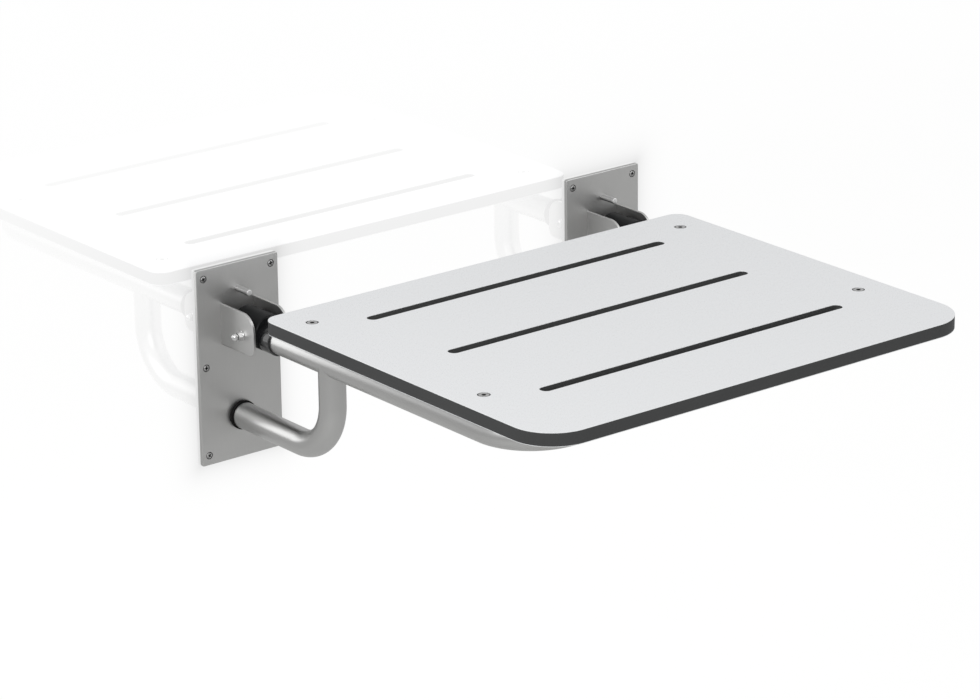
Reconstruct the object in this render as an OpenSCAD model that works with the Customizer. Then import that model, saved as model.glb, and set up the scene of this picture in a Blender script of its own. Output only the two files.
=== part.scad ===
// Fold down wall seat: two wall plates with hinge lugs carry a bent tube frame,
// and a slotted laminate board is screwed to the frame.
// X runs along the wall, Y runs into the wall and Z is up. The origin lies on
// the wall surface, midway between the plates and at half their height.

/* [Seat board] */
// Width of the board along the wall
seat_w = 500; // [440:5:580]
// Depth of the board, from its rear edge to its front edge
seat_d = 408; // [380:4:460]
// Distance from the wall to the rear edge of the board
seat_rear = 84; // [78:1:100]
// Whole thickness of the board
board_t = 13; // [10:0.5:16]
// Thickness of each pale sheet on the core
face_t = 0.6; // [0.4:0.1:1.2]
// Radius of the front corners in plan
front_corner_r = 42; // [25:1:60]
// Radius of the rear corners in plan
rear_corner_r = 15; // [8:1:25]

/* [Drain slots] */
// Width of each slot
slot_w = 12; // [8:0.5:16]
// Length of each slot, over its round ends
slot_l = 352; // [280:4:370]
// Rear edge of the board to the rear slot's centre line
rear_slot_inset = 62.5; // [55:0.5:75]
// Rear edge of the board to the middle slot's centre line
mid_slot_inset = 182; // [150:1:210]
// Rear edge of the board to the front slot's centre line
front_slot_inset = 311; // [290:1:330]

/* [Tube frame] */
// Outside diameter of the tubes
tube_d = 25.4; // [24:0.1:27]
// Wall thickness of the tubes
tube_wall = 1.5; // [1.2:0.1:2.5]
// Side edge of the board to the side tube's axis
tube_inset = 30; // [20:1:45]
// Front edge of the board to the front tube's axis
front_tube_inset = 68; // [50:1:80]
// Centre line radius of the two front bends
frame_bend_r = 52.5; // [45:0.5:60]
// Height of the threaded bosses between the tube and the board
boss_h = 5.8; // [4:0.2:9]
// Diameter of the bosses
boss_d = 14; // [12:0.5:18]
// Rear edge of the board to the rear screws
rear_screw_inset = 37; // [32:1:50]
// Front edge of the board to the front screws
front_screw_inset = 120.5; // [112:0.5:140]

/* [Support legs] */
// Distance from the wall to the upright part of each leg
leg_out = 149.5; // [125:0.5:180]
// Bottom edge of the wall plate to the axis of the leg's lower run
leg_inset = 42; // [34:1:60]
// Centre line radius of the leg's bend
leg_bend_r = 50; // [42:0.5:55]
// Thickness of the end cap's flange
cap_t = 4; // [3:0.5:6]
// Step of the end cap's flange beyond the tube
cap_lip = 1.3; // [0.8:0.1:2.5]
// Length of the end cap's plug inside the tube
cap_plug_l = 20; // [12:1:30]

/* [Wall plates] */
// Width of each plate
plate_w = 92; // [84:1:110]
// Height of each plate
plate_h = 192; // [184:2:230]
// Thickness of each plate
plate_t = 4; // [3:0.5:5]
// Radius of the plate's corners
plate_corner_r = 2; // [1:0.5:5]
// Side edge of the plate to the screws
screw_side_inset = 8; // [7:0.5:12]
// Top and bottom edges of the plate to the end screws
screw_end_inset = 9.5; // [8:0.5:14]

/* [Wall screws] */
// Diameter over the screw's thread
wall_thread_d = 4; // [3.6:0.1:5]
// Diameter of the screw's plain neck
wall_neck_d = 3.2; // [2.6:0.1:3.4]
// Diameter of the screw's flat head
wall_head_d = 7; // [6.4:0.1:8.2]
// Reach of the screw behind the wall surface
wall_screw_reach = 30; // [20:1:34]

/* [Hinge] */
// Distance from the wall to the pivot
pivot_out = 37; // [35:0.5:42]
// Top edge of the wall plate to the pivot
pivot_inset = 59.2; // [54:0.2:66]
// Pivot to the axis of the side tube below it
tube_offset = 0.9; // [0:0.1:2]
// Clear width between the two lugs
lug_gap = 35; // [32:0.5:40]
// Thickness of each lug
lug_t = 2.5; // [2:0.5:4]
// Distance from the wall to the front of the lugs
lug_reach = 56; // [54:0.5:60]
// Height of the lugs above the pivot
lug_rise = 22.4; // [21:0.2:27]
// Depth of the lugs below the pivot
lug_fall = 17.2; // [16:0.2:24]
// Radius of the lug's upper front corner
lug_top_r = 17; // [12:0.5:22]
// Radius of the lug's lower front corner
lug_bottom_r = 8; // [4:0.5:12]

/* [Hinge block] */
// Diameter of the drum between the lugs
drum_d = 35; // [34.5:0.1:36.5]
// Height of the drum's axis above the pivot
drum_rise = 2.5; // [1.5:0.1:3.5]
// Reach of the drum in front of the pivot
drum_nose = 18; // [14:0.5:19]
// Reach of the round collar beyond the front of the lugs
collar_l = 15; // [12:0.5:18]
// Step of the collar beyond the tube
collar_step = 1.9; // [1:0.1:2.2]
// Length of the block's spigot inside the tube
spigot_l = 40; // [25:1:55]

/* [Pivot and stop] */
// Diameter of the pivot bolt
bolt_d = 5; // [4:0.5:6]
// Outside diameter of the pivot sleeve
sleeve_d = 10; // [8.5:0.5:12]
// Outside diameter of the washers
washer_d = 10; // [9.5:0.5:12]
// Thickness of the washers
washer_t = 1; // [0.6:0.1:1.6]
// Width of the cap nut across its flats
nut_flats = 8; // [7.5:0.5:9.5]
// Whole height of the cap nut
nut_h = 10; // [9:0.5:13]
// Diameter of the stop pin
pin_d = 6; // [4:0.5:8]
// Height of the stop pin above the pivot
pin_rise = 33.3; // [30:0.1:36]

/* [Screws in the seat] */
// Diameter of the seat screws
seat_screw_d = 5; // [4:0.5:6]
// Diameter of the seat screw's flat head
seat_head_d = 9.8; // [9:0.1:10.5]
// Diameter of the recess round the seat screw's head
seat_recess_d = 12; // [11:0.5:14]
// Length of the seat screws
seat_screw_l = 22; // [20:1:26]
// Diameter of the screw that holds each hinge block in its tube
block_screw_d = 4; // [3:0.5:5]
// Length of that screw
block_screw_l = 12; // [9:1:14]

/* [Clearances] */
// Gap between the end caps and the wall plates with the seat down
rest_gap = 0.2; // [0.1:0.1:0.4]
// Gap between the collar and the stop pin with the seat folded up
stop_gap = 0.3; // [0.2:0.1:0.6]
// Gap between the hinge block and each lug
side_play = 0.4; // [0.3:0.1:0.8]
// Gap between the drum's rear corners and the wall plate as the seat swings
swing_gap = 4; // [1:0.5:5]
// Radial gap between the pivot sleeve and the hinge block
running_gap = 0.06; // [0.03:0.01:0.1]
// Gap around screws, bolts and plugs in their holes
fit_gap = 0.1; // [0.05:0.01:0.2]

/* [Hidden] */
$fn = 96;

// Overrun of every cut past the face that it opens
over = 1;
left = -1;
right = 1;

// Finishes
satin_steel = [0.62, 0.62, 0.61];
bright_steel = [0.78, 0.78, 0.77];
black_nylon = [0.09, 0.09, 0.10];
black_rubber = [0.05, 0.05, 0.05];
core_grey = [0.24, 0.25, 0.25];
pale_laminate = [0.88, 0.89, 0.90];

// The hinges, side tubes, legs and stop pins share one upright plane on each side
hinge_x = seat_w / 2 - tube_inset;
tube_r = tube_d / 2;
bore_r = tube_r - tube_wall;
pivot_z = plate_h / 2 - pivot_inset;
tube_z = pivot_z - tube_offset;
leg_z = leg_inset - plate_h / 2;
board_z = tube_z + tube_r + boss_h;
seat_top_z = board_z + board_t;
core_t = board_t - 2 * face_t;
seat_front = seat_rear + seat_d;
front_tube_out = seat_front - front_tube_inset;
rear_screw_out = seat_rear + rear_screw_inset;
front_screw_out = seat_front - front_screw_inset;
slot_outs = [for (inset = [rear_slot_inset, mid_slot_inset, front_slot_inset]) seat_rear + inset];

// The drum's rear corners swing past the wall plate, and its flat sides past the lugs
drum_r = drum_d / 2;
drum_w = lug_gap - 2 * side_play;
drum_swing_r = pivot_out - plate_t - swing_gap;
drum_top = drum_rise + drum_r;
drum_rear = pivot_out - sqrt(drum_swing_r * drum_swing_r - drum_top * drum_top);
drum_front = pivot_out + drum_nose;
collar_r = tube_r + collar_step;
collar_front = lug_reach + collar_l;
spigot_r = bore_r - fit_gap;
spigot_chamfer = 1;
block_screw_out = collar_front + spigot_l / 2;
block_head_d = 2 * block_screw_d;

// The stop pin ends where the collar comes to rest with the seat folded up
pin_end_out = pivot_out + tube_offset - collar_r - stop_gap;
pin_chamfer = 0.5;

// The bolt's head bears on the inner lug and the cap nut on the outer one
stack_half = lug_gap / 2 + lug_t + washer_t;
bolt_hole_r = bolt_d / 2 + fit_gap;
bolt_head_d = 1.9 * bolt_d;
bolt_head_h = 0.55 * bolt_d;
bolt_key = 0.6 * bolt_d;
nut_hex_h = 0.45 * nut_h;
nut_dome_r = nut_flats / 2 - nut_flats / 32;
nut_depth = nut_hex_h + nut_dome_r / 2 + fit_gap;
bolt_grip = 2 * stack_half + nut_depth - fit_gap;

// The cap's flange meets the plate with the seat down
cap_r = tube_r + cap_lip;
leg_end_out = plate_t + rest_gap + cap_t;
cap_chamfer = 0.9 * cap_lip;

// Screw columns and rows on one plate, from the plate's middle
screw_columns = [for (side = [-1, 1]) side * (plate_w / 2 - screw_side_inset)];
screw_rows = [for (row = [-1, 0, 1]) row * (plate_h / 2 - screw_end_inset)];
wall_tip_l = wall_thread_d;
wall_head_flat = 0.3;
cross_l = 0.55 * wall_head_d;
cross_w = 0.13 * wall_head_d;
cross_depth = 0.18 * wall_head_d;

// The seat screw's head lies a little below the board's top, and the recess round it
// ends above the cone that the head bears on
seat_head_sink = 0.2;
seat_recess_depth = seat_head_sink + (seat_head_d - seat_screw_d) / 5;
seat_key = 0.62 * seat_screw_d;
seat_key_depth = 0.5 * seat_screw_d;

// Carries a piece drawn at the right hinge plane to the left or the right side
module at_side(side) {
    if (side > 0)
        translate([hinge_x, 0, 0]) children();
    else
        mirror([1, 0, 0]) translate([hinge_x, 0, 0]) children();
}

// A round bar along X, from x = 0 towards +X
module bar_x(r, l) {
    rotate([0, 90, 0]) cylinder(r = r, h = l);
}

// A round bar along Y, between two distances from the wall
module bar_out(r, from, to) {
    translate([0, -from, 0]) rotate([90, 0, 0]) cylinder(r = r, h = to - from);
}

// What is cut off a square corner at the origin to leave a round of radius r,
// the corner pointing along sx and sy
module corner_cut(r, sx, sy) {
    translate([-sx * r, -sy * r])
        difference() {
            translate([sx > 0 ? 0 : -r - over, sy > 0 ? 0 : -r - over]) square(r + over);
            circle(r = r);
        }
}

// A rectangle about the origin with a radius for the corners on each side of X
module round_rect(w, h, r_low, r_high) {
    difference() {
        square([w, h], center = true);
        for (sx = [-1, 1]) {
            translate([sx * w / 2, -h / 2]) corner_cut(r_low, sx, -1);
            translate([sx * w / 2, h / 2]) corner_cut(r_high, sx, 1);
        }
    }
}

// Flat head and shank of a screw whose head faces +Z at z = 0, with its point down.
// grow makes the hole that the screw drops into
module flat_head(head_d, neck_d, rim, grow) {
    translate([0, 0, -rim])
        cylinder(d = head_d + 2 * grow, h = rim + (grow > 0 ? over : 0));
    translate([0, 0, -rim - (head_d - neck_d) / 2])
        cylinder(d1 = neck_d + 2 * grow, d2 = head_d + 2 * grow, h = (head_d - neck_d) / 2);
}

// Wall plates

module wall_plate_body() {
    color(satin_steel)
        difference() {
            translate([0, 0, 0]) rotate([90, 0, 0])
                linear_extrude(plate_t) round_rect(plate_w, plate_h, plate_corner_r, plate_corner_r);
            for (x = screw_columns, z = screw_rows)
                translate([x, -plate_t, z]) rotate([90, 0, 0]) {
                    flat_head(wall_head_d, wall_neck_d, wall_head_flat, fit_gap);
                    translate([0, 0, -plate_t - over])
                        cylinder(d = wall_thread_d + 2 * fit_gap, h = plate_t + 2 * over);
                }
        }
}

module wall_screw() {
    rotate([90, 0, 0])
        difference() {
            union() {
                flat_head(wall_head_d, wall_neck_d, wall_head_flat, 0);
                translate([0, 0, -plate_t])
                    cylinder(d = wall_neck_d, h = plate_t - wall_head_flat);
                translate([0, 0, -plate_t - wall_screw_reach + wall_tip_l])
                    cylinder(d = wall_thread_d, h = wall_screw_reach - wall_tip_l);
                translate([0, 0, -plate_t - wall_screw_reach])
                    cylinder(d1 = wall_thread_d / 4, d2 = wall_thread_d, h = wall_tip_l);
            }
            for (turn = [0, 90])
                rotate(turn)
                    translate([-cross_l / 2, -cross_w / 2, -cross_depth])
                        cube([cross_l, cross_w, cross_depth + over]);
        }
}

module wall_screws() {
    color(bright_steel)
        for (x = screw_columns, z = screw_rows)
            translate([x, -plate_t, z]) wall_screw();
}

// Lug outline: its rear stands on the plate, and its front corners are round
module lug_outline() {
    length = lug_reach - plate_t;
    height = lug_rise + lug_fall;
    difference() {
        square([length, height]);
        translate([length, height]) corner_cut(lug_top_r, 1, 1);
        translate([length, 0]) corner_cut(lug_bottom_r, 1, -1);
    }
}

// A lug with its inner face at x = 0, pierced for the pivot bolt
module lug_body() {
    color(satin_steel)
        difference() {
            translate([0, -plate_t, pivot_z - lug_fall])
                rotate([90, 0, -90]) mirror([0, 0, 1]) linear_extrude(lug_t) lug_outline();
            translate([-over, -pivot_out, pivot_z]) bar_x(bolt_hole_r, lug_t + 2 * over);
        }
}

module outer_lug() {
    translate([lug_gap / 2, 0, 0]) lug_body();
}

module inner_lug() {
    translate([-lug_gap / 2 - lug_t, 0, 0]) lug_body();
}

module stop_pin() {
    color(bright_steel)
        translate([0, 0, pivot_z + pin_rise]) {
            bar_out(pin_d / 2, plate_t, pin_end_out - pin_chamfer);
            translate([0, -pin_end_out + pin_chamfer, 0]) rotate([90, 0, 0])
                cylinder(r1 = pin_d / 2, r2 = pin_d / 2 - pin_chamfer, h = pin_chamfer);
        }
}

// Pivot

module pivot_sleeve() {
    color(bright_steel)
        translate([-lug_gap / 2, -pivot_out, pivot_z])
            difference() {
                bar_x(sleeve_d / 2, lug_gap);
                translate([-over, 0, 0]) bar_x(bolt_hole_r, lug_gap + 2 * over);
            }
}

module pivot_washers() {
    color(bright_steel)
        for (x = [-stack_half, stack_half - washer_t])
            translate([x, -pivot_out, pivot_z])
                difference() {
                    bar_x(washer_d / 2, washer_t);
                    translate([-over, 0, 0]) bar_x(bolt_hole_r, washer_t + 2 * over);
                }
}

module pivot_bolt() {
    color(bright_steel)
        translate([-stack_half, -pivot_out, pivot_z])
            difference() {
                union() {
                    bar_x(bolt_d / 2, bolt_grip);
                    rotate([0, -90, 0])
                        cylinder(d1 = bolt_head_d, d2 = bolt_head_d - bolt_head_h, h = bolt_head_h);
                }
                translate([-bolt_head_h - over, 0, 0]) rotate([0, 90, 0])
                    cylinder(d = bolt_key / cos(30), h = over + bolt_head_h / 2, $fn = 6);
            }
}

module cap_nut() {
    dome_h = nut_h - nut_hex_h - nut_dome_r;
    color(bright_steel)
        translate([stack_half, -pivot_out, pivot_z])
            difference() {
                union() {
                    rotate([0, 90, 0]) cylinder(d = nut_flats / cos(30), h = nut_hex_h, $fn = 6);
                    translate([nut_hex_h, 0, 0]) bar_x(nut_dome_r, dome_h);
                    translate([nut_hex_h + dome_h, 0, 0]) sphere(r = nut_dome_r);
                }
                translate([-over, 0, 0]) bar_x(bolt_hole_r, nut_depth + over);
            }
}

// The drum turns on the sleeve between the lugs, and the collar meets the end of the tube
module hinge_block() {
    color(black_nylon)
        difference() {
            union() {
                intersection() {
                    translate([0, 0, pivot_z + drum_rise]) bar_out(drum_r, drum_rear, drum_front);
                    translate([-drum_w / 2, -drum_front - over, pivot_z + drum_rise - drum_r - over])
                        cube([drum_w, drum_front - drum_rear + 2 * over, drum_d + 2 * over]);
                }
                translate([0, 0, tube_z]) {
                    bar_out(collar_r, pivot_out, collar_front);
                    bar_out(spigot_r, collar_front, collar_front + spigot_l - spigot_chamfer);
                    translate([0, -collar_front - spigot_l + spigot_chamfer, 0]) rotate([90, 0, 0])
                        cylinder(r1 = spigot_r, r2 = spigot_r - spigot_chamfer, h = spigot_chamfer);
                }
            }
            translate([-drum_w / 2 - over, -pivot_out, pivot_z])
                bar_x(sleeve_d / 2 + running_gap, drum_w + 2 * over);
            block_screw_hole();
        }
}

// The screw enters the underside of the tube and ends in the spigot
module block_screw_place() {
    translate([0, -block_screw_out, tube_z - tube_r]) rotate([180, 0, 0]) children();
}

module block_screw_hole() {
    block_screw_place() {
        flat_head(block_head_d, block_screw_d, 0, fit_gap);
        translate([0, 0, -block_screw_l - fit_gap])
            cylinder(d = block_screw_d + 2 * fit_gap, h = block_screw_l + fit_gap);
    }
}

module block_screw() {
    color(bright_steel)
        block_screw_place()
            difference() {
                union() {
                    flat_head(block_head_d, block_screw_d, 0, 0);
                    translate([0, 0, -block_screw_l])
                        cylinder(d = block_screw_d, h = block_screw_l - block_screw_d / 4);
                }
                translate([0, 0, -block_screw_d / 2])
                    cylinder(d = block_screw_d / 2 / cos(30), h = block_screw_d / 2 + over, $fn = 6);
            }
}

// Tube frame

// One side run, one front bend and half of the front run, as a solid bar of radius r
module frame_half(r, rear) {
    bend_out = front_tube_out - frame_bend_r;
    translate([hinge_x, 0, 0]) bar_out(r, rear, bend_out);
    translate([hinge_x - frame_bend_r, -bend_out, 0])
        rotate(-90) rotate_extrude(angle = 90) translate([frame_bend_r, 0]) circle(r = r);
    translate([0, -front_tube_out, 0]) bar_x(r, hinge_x - frame_bend_r);
}

module seat_frame() {
    color(satin_steel)
        difference() {
            translate([0, 0, tube_z]) {
                frame_half(tube_r, collar_front);
                mirror([1, 0, 0]) frame_half(tube_r, collar_front);
            }
            translate([0, 0, tube_z]) {
                frame_half(bore_r, collar_front - over);
                mirror([1, 0, 0]) frame_half(bore_r, collar_front - over);
            }
            for (side = [left, right])
                at_side(side) {
                    block_screw_hole();
                    for (out = [rear_screw_out, front_screw_out])
                        translate([0, -out, tube_z])
                            cylinder(d = seat_screw_d + 2 * fit_gap, h = tube_r + over);
                }
        }
}

// Threaded boss, coped to the top of the side tube or of its bend
module boss(out) {
    color(satin_steel)
        difference() {
            translate([0, -out, tube_z]) cylinder(d = boss_d, h = board_z - tube_z);
            translate([-hinge_x, 0, tube_z]) frame_half(tube_r, collar_front);
            translate([0, -out, tube_z])
                cylinder(d = seat_screw_d + 2 * fit_gap, h = tube_r + boss_h + over);
        }
}

// Upright, bend and lower run of a leg, as a solid bar of radius r
module leg_bar(r, end_out) {
    translate([0, -leg_out, leg_z + leg_bend_r])
        cylinder(r = r, h = tube_z - leg_z - leg_bend_r);
    translate([0, -leg_out + leg_bend_r, leg_z + leg_bend_r])
        rotate([0, 90, 0]) rotate(-90) rotate_extrude(angle = 90)
            translate([leg_bend_r, 0]) circle(r = r);
    translate([0, 0, leg_z]) bar_out(r, end_out, leg_out - leg_bend_r);
}

// The leg's top is coped to the underside of the side tube
module support_leg() {
    color(satin_steel)
        difference() {
            leg_bar(tube_r, leg_end_out);
            leg_bar(bore_r, leg_end_out - over);
            translate([0, 0, tube_z]) bar_out(tube_r, leg_out - tube_d, leg_out + tube_d);
        }
}

module end_cap() {
    color(black_rubber)
        translate([0, 0, leg_z]) {
            bar_out(cap_r, plate_t + rest_gap + cap_chamfer, leg_end_out);
            translate([0, -plate_t - rest_gap, 0]) rotate([90, 0, 0])
                cylinder(r1 = cap_r - cap_chamfer, r2 = cap_r, h = cap_chamfer);
            bar_out(bore_r - fit_gap, leg_end_out, leg_end_out + cap_plug_l);
        }
}

// Seat board

module slot_outline() {
    square([slot_l - slot_w, slot_w], center = true);
    for (side = [-1, 1])
        translate([side * (slot_l - slot_w) / 2, 0]) circle(d = slot_w);
}

// Plan of the board with its slots, the rear edge towards +Y
module board_outline() {
    difference() {
        translate([0, -seat_rear - seat_d / 2])
            round_rect(seat_w, seat_d, front_corner_r, rear_corner_r);
        for (out = slot_outs)
            translate([0, -out]) slot_outline();
    }
}

module at_seat_screws() {
    for (side = [left, right], out = [rear_screw_out, front_screw_out])
        translate([side * hinge_x, -out, seat_top_z]) children();
}

module seat_screw_hole() {
    translate([0, 0, -seat_head_sink]) {
        flat_head(seat_head_d, seat_screw_d, 0, fit_gap);
        cylinder(d = seat_head_d + 2 * fit_gap, h = seat_head_sink + over);
    }
    translate([0, 0, -seat_recess_depth])
        cylinder(d = seat_recess_d, h = seat_recess_depth + over);
    translate([0, 0, -board_t - over])
        cylinder(d = seat_screw_d + 2 * fit_gap, h = board_t + over);
}

module board_layer(z, t) {
    difference() {
        translate([0, 0, z]) linear_extrude(t) board_outline();
        at_seat_screws() seat_screw_hole();
    }
}

module seat_core() {
    color(core_grey) board_layer(board_z + face_t, core_t);
}

module seat_top_face() {
    color(pale_laminate) board_layer(seat_top_z - face_t, face_t);
}

module seat_bottom_face() {
    color(pale_laminate) board_layer(board_z, face_t);
}

module seat_screws() {
    color(bright_steel)
        at_seat_screws()
            translate([0, 0, -seat_head_sink])
                difference() {
                    union() {
                        flat_head(seat_head_d, seat_screw_d, 0, 0);
                        translate([0, 0, -seat_screw_l])
                            cylinder(d = seat_screw_d, h = seat_screw_l - seat_screw_d / 4);
                    }
                    translate([0, 0, -seat_key_depth])
                        cylinder(d = seat_key / cos(30), h = seat_key_depth + over, $fn = 6);
                }
}

at_side(left) wall_plate_body();  // left_wall_plate
at_side(right) wall_plate_body();  // right_wall_plate
at_side(left) outer_lug();  // left_outer_lug
at_side(left) inner_lug();  // left_inner_lug
at_side(right) outer_lug();  // right_outer_lug
at_side(right) inner_lug();  // right_inner_lug
at_side(left) stop_pin();  // left_stop_pin
at_side(right) stop_pin();  // right_stop_pin
at_side(left) wall_screws();  // left_wall_screws
at_side(right) wall_screws();  // right_wall_screws
at_side(left) pivot_bolt();  // left_pivot_bolt
at_side(right) pivot_bolt();  // right_pivot_bolt
at_side(left) pivot_sleeve();  // left_pivot_sleeve
at_side(right) pivot_sleeve();  // right_pivot_sleeve
at_side(left) pivot_washers();  // left_pivot_washers
at_side(right) pivot_washers();  // right_pivot_washers
at_side(left) cap_nut();  // left_cap_nut
at_side(right) cap_nut();  // right_cap_nut
at_side(left) hinge_block();  // left_hinge_block
at_side(right) hinge_block();  // right_hinge_block
at_side(left) block_screw();  // left_block_screw
at_side(right) block_screw();  // right_block_screw
seat_frame();
at_side(left) support_leg();  // left_support_leg
at_side(right) support_leg();  // right_support_leg
at_side(left) end_cap();  // left_end_cap
at_side(right) end_cap();  // right_end_cap
at_side(left) boss(rear_screw_out);  // rear_left_boss
at_side(right) boss(rear_screw_out);  // rear_right_boss
at_side(left) boss(front_screw_out);  // front_left_boss
at_side(right) boss(front_screw_out);  // front_right_boss
seat_core();
seat_top_face();
seat_bottom_face();
seat_screws();
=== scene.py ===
import math

import bmesh
import bpy
from mathutils import Matrix, Vector
from mathutils.geometry import tessellate_polygon


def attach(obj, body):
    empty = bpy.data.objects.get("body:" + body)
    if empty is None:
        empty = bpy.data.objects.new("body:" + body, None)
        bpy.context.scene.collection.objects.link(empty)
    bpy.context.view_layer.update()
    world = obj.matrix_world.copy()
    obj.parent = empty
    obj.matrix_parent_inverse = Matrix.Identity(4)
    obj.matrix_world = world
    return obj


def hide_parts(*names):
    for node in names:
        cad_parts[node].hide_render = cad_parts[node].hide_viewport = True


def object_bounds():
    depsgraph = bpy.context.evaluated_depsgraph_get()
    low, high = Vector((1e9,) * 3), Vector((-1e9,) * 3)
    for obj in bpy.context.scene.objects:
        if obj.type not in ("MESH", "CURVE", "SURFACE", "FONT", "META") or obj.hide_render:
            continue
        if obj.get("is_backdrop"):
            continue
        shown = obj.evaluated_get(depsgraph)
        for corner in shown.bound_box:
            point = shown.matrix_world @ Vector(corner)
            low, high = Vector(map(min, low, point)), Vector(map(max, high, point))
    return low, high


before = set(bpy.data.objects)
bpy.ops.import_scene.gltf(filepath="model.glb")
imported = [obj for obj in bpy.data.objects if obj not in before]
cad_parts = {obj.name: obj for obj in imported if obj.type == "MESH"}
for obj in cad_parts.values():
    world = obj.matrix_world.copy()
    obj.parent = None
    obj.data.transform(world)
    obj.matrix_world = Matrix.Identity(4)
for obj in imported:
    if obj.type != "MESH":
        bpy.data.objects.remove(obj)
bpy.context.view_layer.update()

scene = bpy.context.scene
scene.view_settings.view_transform = "Standard"

# Sizes are in millimetres up to the moment a mesh is made.
# x runs along the wall, y into the wall, z up, and "out" is the distance from the wall.
mm = 0.001
quarter = math.pi / 2
sides = {"left": -1, "right": 1}
layout = {
    "hingeX": 220.0,  # the plane of each plate's hinge, tube and leg
    "plateFront": 4.0,
    "pivotOut": 37.0,
    "pivotZ": 36.8,
    "tubeZ": 35.9,
    "tubeR": 12.7,
    "boreR": 11.2,
    "collarFront": 71.0,  # where the side tubes start
    "boardUnder": 54.4,
    "boardTop": 67.4,
    "legZ": -54.0,
    "legOut": 149.5,
    "legBend": 50.0,
    "legEnd": 8.2,
}


def grey(tone):
    return (tone, tone, tone, 1)


def spread(first, last, count):
    # evenly spaced values, both ends included
    return [first + (last - first) * k / (count - 1) for k in range(count)]


class Wire:
    # a socket that takes part in sums, products and powers
    def __init__(self, graph, socket):
        self.graph, self.socket = graph, socket

    def maths(self, operation, *values, clamp=False):
        settings = {"operation": operation, "use_clamp": clamp}
        return self.graph.node("ShaderNodeMath", settings, dict(enumerate(values)))

    def __add__(self, other):
        return self.maths("ADD", self, other)

    def __sub__(self, other):
        return self.maths("SUBTRACT", self, other)

    def __rsub__(self, other):
        return self.maths("SUBTRACT", other, self)

    def __mul__(self, other):
        return self.maths("MULTIPLY", self, other)

    def __truediv__(self, other):
        return self.maths("DIVIDE", self, other)

    def __rtruediv__(self, other):
        return self.maths("DIVIDE", other, self)

    def __pow__(self, other):
        return self.maths("POWER", self, other)

    def __abs__(self):
        return self.maths("ABSOLUTE", self)

    __radd__, __rmul__ = __add__, __mul__

    def exp(self):
        return self.maths("EXPONENT", self)

    def atLeast(self, least):
        return self.maths("MAXIMUM", self, least)

    def clamp(self):
        return self.maths("ADD", self, 0.0, clamp=True)


class Graph:
    def __init__(self, tree):
        self.tree = tree
        tree.nodes.clear()

    def node(self, kind, settings=None, sockets=None, out=0):
        made = self.tree.nodes.new(kind)
        for key, value in (settings or {}).items():
            if key == "stops":
                self.fillRamp(made.color_ramp, value)
            else:
                setattr(made, key, value)
        for key, value in (sockets or {}).items():
            if isinstance(value, Wire):
                self.tree.links.new(value.socket, made.inputs[key])
            else:
                made.inputs[key].default_value = value
        return Wire(self, made.outputs[out]) if made.outputs else None

    def fillRamp(self, ramp, stops):
        for element, (place, tone) in zip(ramp.elements, stops):
            element.position = place
            element.color = grey(tone)

    def ramp(self, factor, *stops):
        # two stops of (place, tone), level before the first and after the second
        return self.node("ShaderNodeValToRGB", {"stops": stops}, {0: factor})

    def blend(self, factor, first, second):
        sockets = {0: factor, 6: first, 7: second}
        return self.node("ShaderNodeMix", {"data_type": "RGBA"}, sockets, out=2)

    def stretch(self, coords, factors):
        settings = {"operation": "MULTIPLY"}
        return self.node("ShaderNodeVectorMath", settings, {0: coords, 1: factors})

    def dot(self, coords, aim):
        settings = {"operation": "DOT_PRODUCT"}
        sockets = {0: coords, 1: Vector(aim).normalized()}
        return self.node("ShaderNodeVectorMath", settings, sockets, out="Value")

    def noise(self, coords, scale, detail=2.0, rough=0.5):
        sockets = {"Vector": coords, "Scale": scale, "Detail": detail, "Roughness": rough}
        return self.node("ShaderNodeTexNoise", {}, sockets)

    def place(self, kind="Object"):
        return self.node("ShaderNodeTexCoord", {}, {}, out=kind)

    def axis(self, coords, letter):
        return self.node("ShaderNodeSeparateXYZ", {}, {0: coords}, out=letter)

    def stored(self, name, out):
        return self.node("ShaderNodeAttribute", {"attribute_name": name}, {}, out=out)

    def bump(self, height, strength, distance):
        sockets = {"Strength": strength, "Distance": distance, "Height": height}
        return self.node("ShaderNodeBump", {}, sockets)

    def paintHollowShade(self, tone):
        # painted shade: recesses and narrow gaps are darkened towards a dark tone by how deep they
        # lie
        depth = self.stored("hollow", "Fac")
        return self.blend(depth * paintedShadeLook["shade"], tone, paintedShadeLook["tone"])

    def surface(self, sockets):
        shader = self.node("ShaderNodeBsdfPrincipled", {}, sockets)
        self.node("ShaderNodeOutputMaterial", {}, {"Surface": shader})


def newGraph(name):
    made = bpy.data.materials.new(name)
    made.use_nodes = True
    return made, Graph(made.node_tree)


# painted shade for recesses and narrow gaps: a dark tone blended in by depth
paintedShadeLook = {
    "shade": 0.88,  # how far the deepest points turn to the dark tone of the painted shade
    "tone": grey(0.03),
    "deepest": 3.5,  # of any recess, in millimetres
}

satinLook = {
    "dark": (0.52, 0.52, 0.515, 1),
    "light": (0.60, 0.60, 0.595, 1),
    "sheetRough": 0.36,
    "tubeRough": 0.25,
    "roughSwing": 0.06,
    "sheetLines": (3200.0, 3200.0, 50.0),  # polishing lines to the metre along x, y and z
    "tubeLines": (60.0, 3200.0, 0.0),  # and along and round a tube
    "cloudScale": 22.0,
    "patchScale": 7.0,
    "grain": 0.12,
    "grainDepth": 0.00005,
}


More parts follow.
